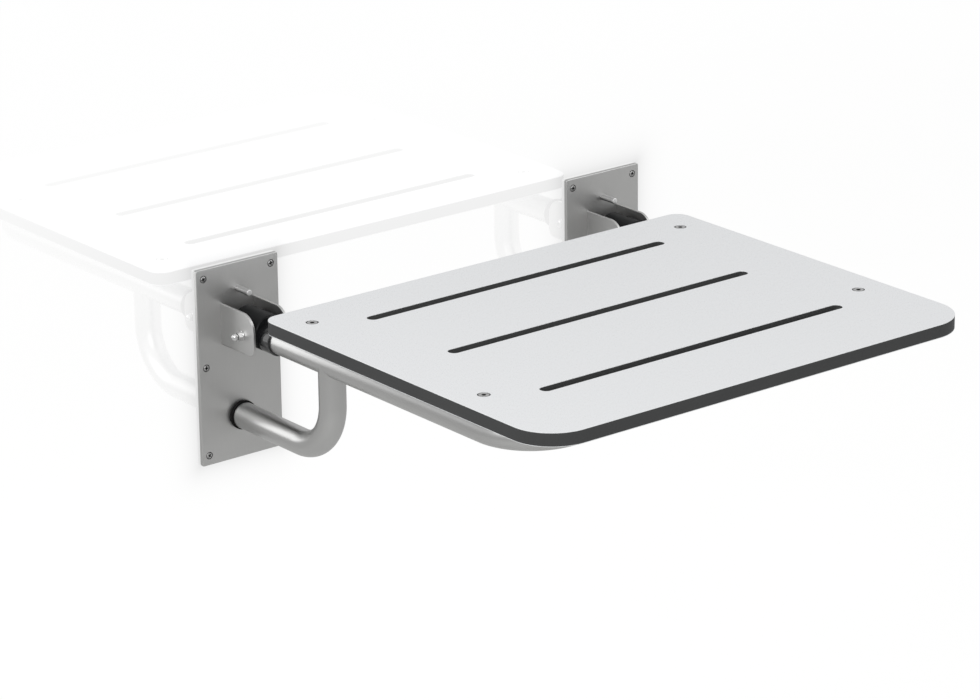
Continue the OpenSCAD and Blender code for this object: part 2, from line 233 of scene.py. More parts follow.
def satinSteel(name, alongTube=False):
    # fine polishing lines, up and down on flat sheet and along the tube on tubes
    made, graph = newGraph(name)
    look = satinLook
    spot = graph.stored("grainPlace", "Vector") if alongTube else graph.place()
    lines = graph.stretch(spot, look["tubeLines" if alongTube else "sheetLines"])
    fine = graph.noise(lines, 1.0, 3.0, 0.6)
    cloud = graph.noise(graph.place(), look["cloudScale"], 3.0)
    patch = graph.noise(graph.place(), look["patchScale"])
    tone = (fine * 0.6 + cloud * 0.4).clamp()
    swing, rough = look["roughSwing"], look["tubeRough" if alongTube else "sheetRough"]
    graph.surface({
        # the colour carries painted shade in recesses
        "Base Color": graph.paintHollowShade(graph.blend(tone, look["dark"], look["light"])),
        "Metallic": 1.0,
        "Roughness": fine * swing + patch * swing + rough,
        "Normal": graph.bump(fine, look["grain"], look["grainDepth"]),
    })
    return made


brightLooks = {
    "screw": {"dark": 0.50, "light": 0.62, "rough": 0.24},
    "bright": {"dark": 0.62, "light": 0.74, "rough": 0.07},
    "pin": {"dark": 0.84, "light": 0.92, "rough": 0.30},
}
turningMarks = {
    "scale": 900.0,
    "cloudScale": 160.0,
    "roughSwing": 0.08,
    "strength": 0.08,
    "depth": 0.00005,
}


def brightSteel(name, look):
    # turned and rolled fasteners: brighter, with faint turning marks
    made, graph = newGraph(name)
    marks = turningMarks
    turn = graph.noise(graph.place(), marks["scale"], 3.0)
    cloud = graph.noise(graph.place(), marks["cloudScale"])
    tone = graph.blend(cloud, grey(look["dark"]), grey(look["light"]))
    graph.surface({
        # the colour carries painted shade in recesses
        "Base Color": graph.paintHollowShade(tone),
        "Metallic": 1.0,
        "Roughness": turn * marks["roughSwing"] + look["rough"],
        "Normal": graph.bump(turn, marks["strength"], marks["depth"]),
    })
    return made


mouldedLooks = {
    "nylon": {
        "dark": (0.003, 0.0035, 0.004, 1),
        "light": (0.006, 0.0065, 0.007, 1),
        "rough": 0.45,
        "gloss": 0.15,
        "speck": 0.1,
        "polishFrom": 54.8,  # distance from the wall from which the collar is polished
        "polishBlend": 0.5,
        "coatRough": 0.04,
        "coatIndex": 1.6,
    },
    "rubber": {
        "dark": grey(0.004),
        "light": grey(0.008),
        "rough": 0.50,
        "gloss": 0.10,
        "speck": 0.25,
    },
}
mouldSkin = {"scale": 2600.0, "cloudScale": 90.0, "roughSwing": 0.10, "depth": 0.00008}


def mouldedBlack(name, look):
    # injection moulded: a fine spark-eroded skin with slow sheen changes
    made, graph = newGraph(name)
    spot = graph.place()
    skin = graph.noise(spot, mouldSkin["scale"])
    cloud = graph.noise(spot, mouldSkin["cloudScale"], 3.0)
    coat = {}
    if "polishFrom" in look:
        out = graph.axis(spot, "Y") / -mm
        coat = {
            "Coat Weight": ((out - look["polishFrom"]) / look["polishBlend"]).clamp(),
            "Coat Roughness": look["coatRough"],
            "Coat IOR": look["coatIndex"],
        }
    graph.surface({
        "Base Color": graph.blend(cloud, look["dark"], look["light"]),
        "Roughness": cloud * mouldSkin["roughSwing"] + look["rough"],
        "Specular IOR Level": look["gloss"],
        "Normal": graph.bump(skin, look["speck"], mouldSkin["depth"]),
        **coat,
    })
    return made


laminateLook = {
    "dark": (0.785, 0.796, 0.809, 1),
    "light": (0.805, 0.816, 0.829, 1),
    "rough": 0.25,
    "roughSwing": 0.06,
    "fleckScale": 1400.0,
    "cloudScale": 6.0,
    "peelScale": 420.0,
    "peel": 0.05,
    "peelDepth": 0.0002,
}


def paleLaminate(name, look):
    # melamine sheet: pale cool grey, an even satin with a very slight orange peel
    made, graph = newGraph(name)
    spot = graph.place()
    fleck = graph.noise(spot, look["fleckScale"])
    cloud = graph.noise(spot, look["cloudScale"], 3.0)
    peel = graph.noise(spot, look["peelScale"])
    tone = (fleck * 0.8 + cloud * 0.2).clamp()
    graph.surface({
        "Base Color": graph.blend(tone, look["dark"], look["light"]),
        "Roughness": fleck * look["roughSwing"] + look["rough"],
        "Normal": graph.bump(peel, look["peel"], look["peelDepth"]),
    })
    return made


coreLook = {
    "dark": (0.046, 0.047, 0.048, 1),
    "light": (0.074, 0.075, 0.075, 1),
    "rough": 0.42,
    "roughSwing": 0.15,
    "gloss": 0.12,
    "sheets": (6.0, 6.0, 2600.0),  # layers to the metre along x, y and z
    "cuts": (900.0, 900.0, 120.0),
    "cloudScale": 30.0,
    "relief": 0.15,
    "reliefDepth": 0.0001,
}


def sawnCore(name, look):
    # edge of a compact laminate: thin pressed sheets, cut and sanded along the edge
    made, graph = newGraph(name)
    spot = graph.place()
    sheets = graph.noise(graph.stretch(spot, look["sheets"]), 1.0)
    cut = graph.noise(graph.stretch(spot, look["cuts"]), 1.0, 3.0)
    cloud = graph.noise(spot, look["cloudScale"], 3.0)
    tone = (sheets * 0.5 + cut * 0.2 + cloud * 0.3).clamp()
    graph.surface({
        "Base Color": graph.blend(tone, look["dark"], look["light"]),
        "Roughness": cut * look["roughSwing"] + look["rough"],
        "Specular IOR Level": look["gloss"],
        "Normal": graph.bump(cut * 0.5 + sheets * 0.5, look["relief"], look["reliefDepth"]),
    })
    return made


# each finish with the record's material slot that it belongs to
finishes = {
    "sheet": (satinSteel("satinSheet"), "satin_steel"),
    "tube": (satinSteel("satinTube", alongTube=True), "satin_steel"),
    "screw": (brightSteel("brightScrews", brightLooks["screw"]), "bright_steel"),
    "bright": (brightSteel("brightFasteners", brightLooks["bright"]), "bright_steel"),
    "pin": (brightSteel("drawnPin", brightLooks["pin"]), "bright_steel"),
    "nylon": (mouldedBlack("blackNylon", mouldedLooks["nylon"]), "black_nylon"),
    "rubber": (mouldedBlack("blackRubber", mouldedLooks["rubber"]), "black_rubber"),
    "laminate": (paleLaminate("paleLaminate", laminateLook), "pale_laminate"),
    "core": (sawnCore("sawnCore", coreLook), "dark_core"),
}
print("finishes made")


def sideMatrix(side):
    # pieces are drawn about the right hinge plane, and mirrored for the left
    return Matrix.Translation((side * layout["hingeX"], 0, 0)) @ Matrix.Diagonal((side, 1, 1, 1))


def turnTo(axis):
    # turns a piece made about +Z to face another way
    turns = {"out": ("X", 90), "+x": ("Y", 90), "-x": ("Y", -90), "down": ("X", 180)}
    about, degrees = turns[axis]
    return Matrix.Rotation(math.radians(degrees), 4, about)


def spotAt(x, out, z):
    return Matrix.Translation((x, -out, z))


def turned(rings, segments=96, closed=False):
    # rings of (height, radius); a radius may be a function of the angle
    bm = bmesh.new()
    loops = []
    for height, radius in rings:
        if radius == 0:
            loops.append([bm.verts.new((0, 0, height))])
            continue
        loop = []
        for i in range(segments):
            angle = 2 * math.pi * i / segments
            r = radius(angle) if callable(radius) else radius
            loop.append(bm.verts.new((r * math.cos(angle), r * math.sin(angle), height)))
        loops.append(loop)
    pairs = list(zip(loops, loops[1:] + loops[:1]))
    for low, high in pairs if closed else pairs[:-1]:
        for i in range(segments):
            j = (i + 1) % segments
            near = (low[i % len(low)], low[j % len(low)])
            far = (high[j % len(high)], high[i % len(high)])
            bm.faces.new(list(dict.fromkeys(near + far)))
    return bm


def hexagon(flats):
    def radius(angle):
        return flats / 2 / math.cos((angle + math.pi / 6) % (math.pi / 3) - math.pi / 6)
    return radius


def chamferedHexagon(flats, limit):
    straight = hexagon(flats)
    return lambda angle: min(straight(angle), limit)


def cross(length, width, turn):
    # a plus-shaped opening, for a cross recess
    def radius(angle):
        part = (angle - turn + math.pi / 4) % quarter - math.pi / 4
        along = length / 2 / math.cos(part)
        across = width / 2 / max(abs(math.sin(part)), 1e-6)
        return min(along, max(across, width / 2 * math.sqrt(2)))
    return radius


def helix(root, crest, pitch, height):
    # radius of a rolled thread at one height, all the way round
    def radius(angle):
        phase = (height / pitch - angle / (2 * math.pi)) % 1.0
        ridge = max(0.0, 1 - abs(phase - 0.5) / 0.28)
        return root + (crest - root) * ridge
    return radius


def threadRings(start, end, root, crest, pitch, steps, point=0.0):
    # rings of a thread from one height down to another, with a point at its end
    rings = []
    for height in spread(start, end, steps + 1):
        share = max(min(1.0, (height - end) / point), 0.06) if point else 1.0
        rings.append((height, helix(root * share, crest * share, pitch, height)))
    return rings + [(end, 0)]


def roundedEdge(radius, height, edge, steps=4):
    # a quarter round from the side of a bar to its end face, as rings
    return [
        (height - edge * (1 - math.sin(t)), radius - edge * (1 - math.cos(t)))
        for t in spread(0, quarter, steps + 1)
    ]


def sheetSolid(loops):
    # loops of (points, profile): each profile holds (growth, height) from one face to the other
    bm = bmesh.new()
    ends = ([], [])
    for points, profile in loops:
        count = len(points)
        normals = []
        for i in range(count):
            before, after = points[i - 1], points[(i + 1) % count]
            normals.append(Vector((after.y - before.y, before.x - after.x)).normalized())
        rings = []
        for growth, height in profile:
            rings.append([
                bm.verts.new((p.x + n.x * growth, p.y + n.y * growth, height))
                for p, n in zip(points, normals)
            ])
        for low, high in zip(rings, rings[1:]):
            for i in range(count):
                j = (i + 1) % count
                bm.faces.new((low[i], low[j], high[j], high[i]))
        ends[0].append(rings[0])
        ends[1].append(rings[-1])
    for rings in ends:
        flat = [v for ring in rings for v in ring]
        for corners in tessellate_polygon([[v.co for v in ring] for ring in rings]):
            bm.faces.new([flat[i] for i in corners])
    return bm


def softEdges(thickness, edge, steps=3):
    # profile of a sheet whose two edges are broken with a small round
    profile = [
        (-edge * (1 - math.sin(t)), edge * (1 - math.cos(t)))
        for t in spread(0, quarter, steps + 1)
    ]
    return profile + [(growth, thickness - height) for growth, height in reversed(profile)]


def roundedOutline(corners, steps=16):
    # corners of (x, y, radius), anticlockwise, with right angles between them
    points = []
    count = len(corners)
    for i, (x, y, radius) in enumerate(corners):
        spot = Vector((x, y))
        before = (Vector(corners[i - 1][:2]) - spot).normalized()
        after = (Vector(corners[(i + 1) % count][:2]) - spot).normalized()
        centre = spot + (before + after) * radius
        for t in spread(0, quarter, steps + 1):
            points.append(centre - after * radius * math.cos(t) - before * radius * math.sin(t))
    return points


def circle(x, y, radius, segments=48):
    # clockwise, as an opening in a sheet is
    turns = [-2 * math.pi * i / segments for i in range(segments)]
    return [Vector((x + radius * math.cos(t), y + radius * math.sin(t))) for t in turns]


def slotOpening(y, length, width, steps=20):
    points = []
    for sign in (1, -1):
        for t in spread(quarter, -quarter, steps + 1):
            x = (length - width) / 2 + width / 2 * math.cos(t)
            points.append(Vector((sign * x, y + sign * width / 2 * math.sin(t))))
    return points


def sweep(path, radius, flatNormal, segments=72, bore=0.0, edge=0.25):
    # a bar or a tube along a path that lies in one plane
    bm = bmesh.new()
    up = Vector(flatNormal)

    def ring(i, r, shift=0.0):
        a, b = path[max(i - 1, 0)], path[min(i + 1, len(path) - 1)]
        along = (b - a).normalized()
        across = along.cross(up)
        turns = [2 * math.pi * k / segments for k in range(segments)]
        return [
            bm.verts.new(path[i] + along * shift + (across * math.cos(t) + up * math.sin(t)) * r)
            for t in turns
        ]

    last = len(path) - 1
    rings = [ring(0, radius - edge), ring(0, radius, edge)]
    rings += [ring(i, radius) for i in range(1, last)]
    rings += [ring(last, radius, -edge), ring(last, radius - edge)]
    if bore:
        rings += [ring(i, bore) for i in range(last, -1, -1)]
    for low, high in zip(rings, rings[1:] + (rings[:1] if bore else [])):
        for k in range(segments):
            j = (k + 1) % segments
            bm.faces.new((low[k], low[j], high[j], high[k]))
    if not bore:
        bm.faces.new(rings[0])
        bm.faces.new(rings[-1])
    return bm


def arc(centre, start, end, radius, u, v, steps=40):
    # points round a bend; u and v span its plane, angles in degrees
    u, v = Vector(u), Vector(v)
    turns = spread(math.radians(start), math.radians(end), steps + 1)
    return [Vector(centre) + (u * math.cos(t) + v * math.sin(t)) * radius for t in turns]


def asObject(name, bm, matrix=Matrix()):
    bm.transform(Matrix.Scale(mm, 4) @ matrix)
    bmesh.ops.remove_doubles(bm, verts=bm.verts, dist=1e-7)
    bmesh.ops.recalc_face_normals(bm, faces=bm.faces)
    mesh = bpy.data.meshes.new(name)
    bm.to_mesh(mesh)
    bm.free()
    made = bpy.data.objects.new(name, mesh)
    scene.collection.objects.link(made)
    return made


def roundBar(radius, low, high, matrix, segments=48):
    # a plain bar that cuts a round hole
    rings = [(low, 0), (low, radius), (high, radius), (high, 0)]
    return asObject("bar", turned(rings, segments), matrix)


def shape(made, tools, operation="DIFFERENCE"):
    # cuts tools from a piece, or joins them to it, and keeps the plain mesh
    for tool in tools:
        step = made.modifiers.new("shape", "BOOLEAN")
        step.operation, step.object, step.solver = operation, tool, "EXACT"
        graph = bpy.context.evaluated_depsgraph_get()
        mesh = bpy.data.meshes.new_from_object(made.evaluated_get(graph))
        made.modifiers.clear()
        old, made.data = made.data, mesh
        bpy.data.meshes.remove(old)
        mesh.name = made.name
        bpy.data.objects.remove(tool)
    return made


def mergeInto(bm, part, matrix):
    part.transform(matrix)
    mesh = bpy.data.meshes.new("part")
    part.to_mesh(mesh)
    part.free()
    bm.from_mesh(mesh)
    bpy.data.meshes.remove(mesh)


def markPaintedShade(made, depthOf, full=0.5):
    # keeps, for each point, how deep it lies in a recess, as a share of the full depth, which sets
    # the painted shade there; points beyond the deepest recess are on a back or a shank, and get no
    # painted shade
    store = made.data.attributes.new("hollow", "FLOAT", "POINT")
    depths = [depthOf(vertex.co / mm) for vertex in made.data.vertices]
    depths = [0.0 if depth > paintedShadeLook["deepest"] else depth / full for depth in depths]
    store.data.foreach_set("value", [max(0.0, min(1.0, depth)) for depth in depths])


shading = {"sharpAngle": 60, "evenWeight": 80, "softSegments": 3}


def dress(made, finish, body, node, soften=0.0, softAngle=30):
    # finish and even normals, then the node that the piece stands for and its body
    material, slot = finishes[finish]
    made.data.materials.clear()
    made.data.materials.append(material)
    if soften:
        step = made.modifiers.new("soften", "BEVEL")
        step.width, step.segments = soften * mm, shading["softSegments"]
        step.limit_method, step.angle_limit = "ANGLE", math.radians(softAngle)
    made.data.shade_smooth()
    made.data.set_sharp_from_angle(angle=math.radians(shading["sharpAngle"]))
    even = made.modifiers.new("evenNormals", "WEIGHTED_NORMAL")
    even.keep_sharp = True
    even.weight = shading["evenWeight"]
    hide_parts(node)
    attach(made, body)
    return made


plateSizes = {
    "width": 92.0,
    "height": 192.0,
    "thickness": 4.0,
    "corner": 2.0,
    "edge": 0.7,
    "screwX": 38.0,
    "screwZ": 86.5,
    "sinkR": 3.6,
    "sinkDepth": 0.9,  # of the straight rim above the countersink
    "boreR": 2.1,
}
plateScrews = [
    (x, z)
    for x in (-plateSizes["screwX"], plateSizes["screwX"])
    for z in (-plateSizes["screwZ"], 0.0, plateSizes["screwZ"])
]


def wallPlate(name, side):
    size = plateSizes
    w, h, r, t = size["width"] / 2, size["height"] / 2, size["corner"], size["thickness"]
    outline = roundedOutline([(-w, -h, r), (w, -h, r), (w, h, r), (-w, h, r)], 6)
    # openings shrink towards their middle, so their growth counts from the sunk rim
    rim, floor = size["sinkR"], t - size["sinkDepth"]
    narrow = rim - size["boreR"]
    steps = [(narrow, 0.0), (narrow, floor - narrow), (0.0, floor), (0.0, t)]
    loops = [(outline, softEdges(t, size["edge"]))]
    loops += [(circle(x, z, rim), steps) for x, z in plateScrews]
    made = asObject(name + "WallPlate", sheetSolid(loops), sideMatrix(side) @ turnTo("out"))

    # painted shade in the countersink round each screw, by depth below the plate's front
    def depth(spot):
        x = side * spot.x - layout["hingeX"]
        near = min(math.hypot(x - a, spot.z - b) for a, b in plateScrews)
        return layout["plateFront"] + spot.y if near < rim + 0.1 else 0.0

    markPaintedShade(made, depth)
    return dress(made, "sheet", "wall_side", name + "_wall_plate")


lugSizes = {
    "thickness": 2.5,
    "gap": 35.0,
    "reach": 56.0,
    "rise": 22.4,
    "fall": 17.2,
    "topR": 17.0,
    "bottomR": 8.0,
    "rootR": 0.01,
    "edge": 0.4,
    "boltR": 2.6,
}


def lug(name, side, place):
    size = lugSizes
    base, reach, root = layout["plateFront"], size["reach"], size["rootR"]
    low, high = layout["pivotZ"] - size["fall"], layout["pivotZ"] + size["rise"]
    outline = roundedOutline([
        (base, low, root), (reach, low, size["bottomR"]),
        (reach, high, size["topR"]), (base, high, root),
    ])
    hole = circle(layout["pivotOut"], layout["pivotZ"], size["boltR"], 32)
    profile = softEdges(size["thickness"], size["edge"])
    bm = sheetSolid([(outline, profile), (hole, profile)])
    for vertex in bm.verts:  # the root stays square where it meets the plate
        if vertex.co.x < base + size["edge"] + root:
            vertex.co.x = base
    inner = size["gap"] / 2 if place == "outer" else -size["gap"] / 2 - size["thickness"]
    # outline runs (out, z) and thickness along x
    turn = Matrix(((0, 0, 1, inner), (-1, 0, 0, 0), (0, 1, 0, 0), (0, 0, 0, 1)))
    made = asObject(f"{name}{place.title()}Lug", bm, sideMatrix(side) @ turn)
    return dress(made, "sheet", "wall_side", f"{name}_{place}_lug")


pinSizes = {
    "radius": 3.0,
    "end": 23.0,
    "endFace": 0.3,  # length of the end that is left without painted shade
    "z": 70.1,
    "edge": 0.5,
    "sideShade": 0.2,  # its side gets the painted shade of a hollow this deep, so it looks darker than its end
}


def stopPin(name, side):
    size = pinSizes
    base, length = layout["plateFront"], size["end"] - layout["plateFront"]
    rings = [(0.0, 0), (0.0, size["radius"])]
    rings += roundedEdge(size["radius"], length, size["edge"]) + [(length, 0)]
    matrix = sideMatrix(side) @ spotAt(0, base, size["z"]) @ turnTo("out")
    made = asObject(name + "StopPin", turned(rings, 64), matrix)
    front = size["end"] - size["endFace"]
    # painted shade: the side is darkened and the end face stays bright
    markPaintedShade(made, lambda spot: size["sideShade"] if -spot.y < front else 0.0)
    return dress(made, "pin", "wall_side", name + "_stop_pin")


wallScrewSizes = {
    "headR": 3.4,
    "flatR": 2.75,
    "proud": 0.2,  # height of the head's middle over the plate
    "headEdge": ((0.0, 0.87), (0.08, 0.95), (0.25, 1.0)),  # drops, and shares of flatR
    "rimDepth": 0.9,
    "rimT": 0.15,
    "flare": 0.2,  # the head is wider by this at its rim than at its flat top
    "threadR": 2.0,
    "rootR": 1.45,
    "neckR": 1.6,
    "neckShort": 0.2,  # the neck ends this far before the plate's back
    "reach": 30.0,
    "pitch": 1.8,
    "ringsPerTurn": 5,
    "point": 4.0,
    "crossL": 4.2,
    "crossW": 1.25,
    "crossDepth": 1.6,
    "crossTaper": 0.25,
    "turns": (20, 65, -10, 40, 5, 75),
}


def wallScrew(turn):
    size = wallScrewSizes
    front, flat, neck = size["proud"], size["flatR"], size["neckR"]
    plate, rim, back = layout["plateFront"], size["rimDepth"], size["rimDepth"] + size["rimT"]
    rings = [(front - size["crossDepth"], 0)]
    for share in (1.0, 0.5, 0.0):
        taper = 1 - size["crossTaper"] * share
        recess = cross(size["crossL"] * taper, size["crossW"] * taper, turn)
        rings.append((front - size["crossDepth"] * share, recess))
    rings += [(front - drop, flat * share) for drop, share in size["headEdge"]]
    rings += [(-rim, flat + size["flare"]), (-rim, size["headR"]), (-back, size["headR"])]
    rings += [(-back - size["headR"] + neck, neck), (size["neckShort"] - plate, neck)]
    steps = int(size["reach"] / size["pitch"] * size["ringsPerTurn"])
    thread = (size["rootR"], size["threadR"], size["pitch"], steps, size["point"])
    return turned(rings + threadRings(-plate, -plate - size["reach"], *thread), 48)


def wallScrews(name, side):
    bm = bmesh.new()
    for (x, z), turn in zip(plateScrews, wallScrewSizes["turns"]):
        spot = spotAt(x, layout["plateFront"], z) @ turnTo("out")
        mergeInto(bm, wallScrew(math.radians(turn)), spot)
    made = asObject(name + "WallScrews", bm, sideMatrix(side))
    # painted shade in the cross recesses and the gap round each head, below the plate's front
    markPaintedShade(made, lambda spot: layout["plateFront"] + spot.y - 0.1)
    return dress(made, "screw", "wall_side", name + "_wall_screws")


hingeFasteners = {
    "stackHalf": 21.0,  # middle of the hinge to the outside of each washer
    "washerR": 5.0,
    "washerT": 1.0,
    "washerEdge": 0.15,
    "boltR": 2.5,
    "boreSlack": 0.1,
    "headR": 4.75,
    "headH": 2.75,
    "key": 3.0,
    "keyMouth": 0.62,  # radius round the key at the head's top, as a share of the key
    "boltPast": 1.5,  # how far the bolt ends past the nut's hexagon
    "nutFlats": 8.0,
    "nutHex": 4.5,  # height of the nut's hexagon
    "nutH": 10.0,
    "nutMouth": 0.3,  # chamfer of the nut's bore
    "borePast": 2.0,
    "faceShare": 0.97,  # radius of the nut's face as a share of half its flats
    "lowChamfer": 0.5,
    "topChamfer": 0.6,
    "domeR": 3.75,
    "groove": 0.35,  # depth of the groove under the dome
    "grooveFrom": 0.05,
    "grooveTo": 0.75,
}


def atPivot(x, axis):
    return spotAt(x, layout["pivotOut"], layout["pivotZ"]) @ turnTo(axis)


def pivotWashers(name, side):
    size = hingeFasteners
    bm = bmesh.new()
    t, r, edge = size["washerT"], size["washerR"], size["washerEdge"]
    bore = size["boltR"] + size["boreSlack"]
    rings = [
        (edge, r), (t - edge, r), (t, r - edge), (t, bore + edge), (t - edge, bore),
        (edge, bore), (0.0, bore + edge), (0.0, r - edge),
    ]
    for x in (-size["stackHalf"], size["stackHalf"] - t):
        mergeInto(bm, turned(rings, 64, closed=True), atPivot(x, "+x"))
    made = asObject(name + "PivotWashers", bm, sideMatrix(side))
    return dress(made, "bright", "wall_side", name + "_pivot_washers")


def pivotBolt(name, side):
    size = hingeFasteners
    head, r, shank, key = size["headH"], size["headR"], size["boltR"], size["key"]
    grip = 2 * size["stackHalf"] + size["nutHex"] + size["boltPast"]
    mouth = key * size["keyMouth"]
    rings = [(head * 0.45, 0), (head * 0.5, hexagon(key * 0.9)), (head - 0.1, hexagon(key))]
    rings.append((head, mouth))
    for t in spread(0, quarter, 6)[1:]:
        height = head * (0.9 * math.cos(t) + 0.1 * (1 - t / quarter))
        rings.append((height, mouth + (r - mouth) * math.sin(t)))
    rings += [(0.0, r - 0.1), (0.0, shank)]
    rings += [(0.5 - grip, shank), (-grip, shank - 0.5), (-grip, 0)]
    matrix = sideMatrix(side) @ atPivot(-size["stackHalf"], "-x")
    made = asObject(name + "PivotBolt", turned(rings, 72), matrix)
    return dress(made, "bright", "wall_side", name + "_pivot_bolt")


def capNut(name, side):
    size = hingeFasteners
    flats, high, dome = size["nutFlats"], size["nutHex"], size["domeR"]
    inner, corner = flats / 2, flats / 2 / math.cos(math.pi / 6)
    bore = size["boltR"] + size["boreSlack"]
    depth, sunk, mouth = high + size["borePast"], dome - size["groove"], size["nutMouth"]
    rings = [(depth, 0), (depth, bore), (mouth, bore), (0.0, bore + mouth)]
    face, shoulder = inner * size["faceShare"], high - size["topChamfer"]
    for height, limit in zip(spread(0.0, size["lowChamfer"], 5), spread(face, corner, 5)):
        rings.append((height, chamferedHexagon(flats, limit)))
    for height, limit in zip(spread(shoulder, high, 5), spread(corner, inner, 5)):
        rings.append((height, chamferedHexagon(flats, limit)))
    rings += [(high + 0.02, dome + 0.05), (high + size["grooveFrom"], sunk)]
    rings += [(high + size["grooveTo"], sunk), (high + 0.9, dome)]
    top = size["nutH"] - dome
    for t in spread(0, quarter, 13)[:-1]:
        rings.append((top + dome * math.sin(t), dome * math.cos(t)))
    rings.append((size["nutH"], 0))
    matrix = sideMatrix(side) @ atPivot(size["stackHalf"], "+x")
    made = asObject(name + "CapNut", turned(rings, 96), matrix)

    def depthOf(spot):
        # painted shade in the groove under the dome
        along = side * spot.x - layout["hingeX"] - size["stackHalf"] - high
        wide = math.hypot(-spot.y - layout["pivotOut"], spot.z - layout["pivotZ"])
        return 0.5 if 0.03 < along < 0.8 and wide < dome - 0.3 else 0.0

    markPaintedShade(made, depthOf)
    return dress(made, "bright", "wall_side", name + "_cap_nut")


for name, side in sides.items():
    wallPlate(name, side)
    lug(name, side, "outer")
    lug(name, side, "inner")
    stopPin(name, side)
    wallScrews(name, side)
    pivotWashers(name, side)
    pivotBolt(name, side)
    capNut(name, side)
    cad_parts[name + "_pivot_sleeve"].material_slots[0].material = finishes["bright"][0]
print("wall plates and their hinge parts made")


blockSizes = {
    "drumR": 17.5,
    "drumHalf": 17.1,  # from its middle to the flats beside the lugs
    "drumRise": 2.5,  # its axis above the pivot
    "drumRear": 16.0,
    "drumFront": 55.0,
    "edge": 0.8,
    "collarR": 14.6,
    "collarEdge": 0.9,
    "spigotR": 11.1,
    "spigotEnd": 111.0,
    "spigotEdge": 1.0,
    "sleeveR": 5.06,
    "screwOut": 91.0,
    "screwR": 2.1,
    "soften": 0.5,
    "softAngle": 32,
}


def hingeBlock(name, side):
    size = blockSizes
    place = sideMatrix(side)
    rear, front, edge = size["drumRear"], size["drumFront"], size["edge"]

    def flatSided(trim):
        r, half = size["drumR"] - trim, size["drumHalf"] - trim
        return lambda angle: min(r, half / max(abs(math.cos(angle)), 1e-6))

    rings = [(rear, 0), (rear, flatSided(edge)), (rear + edge, flatSided(0.0))]
    rings += [(front - edge, flatSided(0.0)), (front, flatSided(edge)), (front, 0)]
    matrix = place @ spotAt(0, 0, layout["pivotZ"] + size["drumRise"]) @ turnTo("out")
    drum = asObject(name + "HingeBlock", turned(rings, 144), matrix)
    r, end, tip = size["spigotR"], size["spigotEnd"], size["spigotEdge"]
    rings = [(layout["pivotOut"], 0), (layout["pivotOut"], size["collarR"])]
    rings += roundedEdge(size["collarR"], layout["collarFront"], size["collarEdge"])
    rings += [(layout["collarFront"], r), (end - tip, r), (end, r - tip), (end, 0)]
    matrix = place @ spotAt(0, 0, layout["tubeZ"]) @ turnTo("out")
    shape(drum, [asObject("collar", turned(rings, 96), matrix)], "UNION")
    bore = roundBar(size["sleeveR"], -30, 30, place @ atPivot(0, "+x"), 64)
    hole = roundBar(size["screwR"], 0, 20, place @ spotAt(0, size["screwOut"], 15), 32)
    shape(drum, [bore, hole])
    node = name + "_hinge_block"
    return dress(drum, "nylon", "seat", node, size["soften"], size["softAngle"])


def socketScrew(size):
    # rings of a flat-head screw with a hexagon socket, down from the top of its head
    head, shank, key, deep = size["headR"], size["shankR"], size["key"], size["keyDepth"]
    rings = [(-deep - size["drillTip"], 0), (-deep, hexagon(key * size["keyTaper"]))]
    rings += [(-size["keyEdge"], hexagon(key)), (0.0, key * size["keyMouth"])]
    rings += [(0.0, head - size["headEdge"]), (-0.12, head)]
    rings += [(-size["headT"], head - 0.1), (-size["headT"] - head + shank, shank)]
    thread = (shank * size["rootShare"], shank, size["pitch"], size["threadSteps"])
    return rings + threadRings(-size["threadFrom"], -size["length"], *thread)


blockScrewSizes = {
    "headR": 4.0,
    "headT": 0.3,
    "headEdge": 0.15,
    "shankR": 2.0,
    "rootShare": 0.82,
    "pitch": 0.7,
    "threadFrom": 2.6,
    "threadSteps": 60,
    "length": 12.0,
    "key": 2.31,
    "keyDepth": 2.0,
    "keyTaper": 0.95,
    "keyEdge": 0.15,
    "keyMouth": 0.66,
    "drillTip": 0.2,
}


def blockScrew(name, side):
    spot = spotAt(0, blockSizes["screwOut"], layout["tubeZ"] - layout["tubeR"]) @ turnTo("down")
    bm = turned(socketScrew(blockScrewSizes), 48)
    made = asObject(name + "BlockScrew", bm, sideMatrix(side) @ spot)
    return dress(made, "bright", "seat", name + "_block_screw")


for name, side in sides.items():
    hingeBlock(name, side)
    blockScrew(name, side)
print("hinge blocks made")


frameSizes = {
    "frontOut": 424.0,
    "bend": 52.5,
    "screwOuts": (121.0, 371.5),
    "screwR": 2.6,
    "holeTop": 54.0,  # height to which the screw holes are cut
    "straightOuts": (200.0, 300.0),  # where the straight runs are split
    "frontSplit": 60.0,
    # (height, radius) of the countersink for each block screw, up from below the tube
    "sinkBelow": (20.0, 7.3),
    "sinkAtTube": 4.1,
    "sinkTop": (26.0, 2.1),
    "sinkEnd": 30.0,
}


def framePath():
    size = frameSizes
    x, z = layout["hingeX"], layout["tubeZ"]
    bend, front = size["bend"], size["frontOut"]
    half = [Vector((x, -out, z)) for out in (layout["collarFront"], *size["straightOuts"])]
    half += arc((x - bend, bend - front, z), 0, -90, bend, (1, 0, 0), (0, 1, 0))
    half.append(Vector((size["frontSplit"], -front, z)))
    return half + [Vector((-p.x, p.y, p.z)) for p in reversed(half)]


legSizes = {
    "uprightSplit": 12.0,  # where the straight runs are split
    "runSplit": 50.0,
    "copeOuts": (120.0, 180.0),  # ends of the bar that fits the leg to the side tube
}


def legPath():
    size = legSizes
    z, out, bend = layout["legZ"], layout["legOut"], layout["legBend"]
    points = [Vector((0, -out, height)) for height in (layout["tubeZ"], size["uprightSplit"])]
    points += arc((0, bend - out, z + bend), 180, 270, bend, (0, 1, 0), (0, 0, 1))
    return points + [Vector((0, -end, z)) for end in (size["runSplit"], layout["legEnd"])]


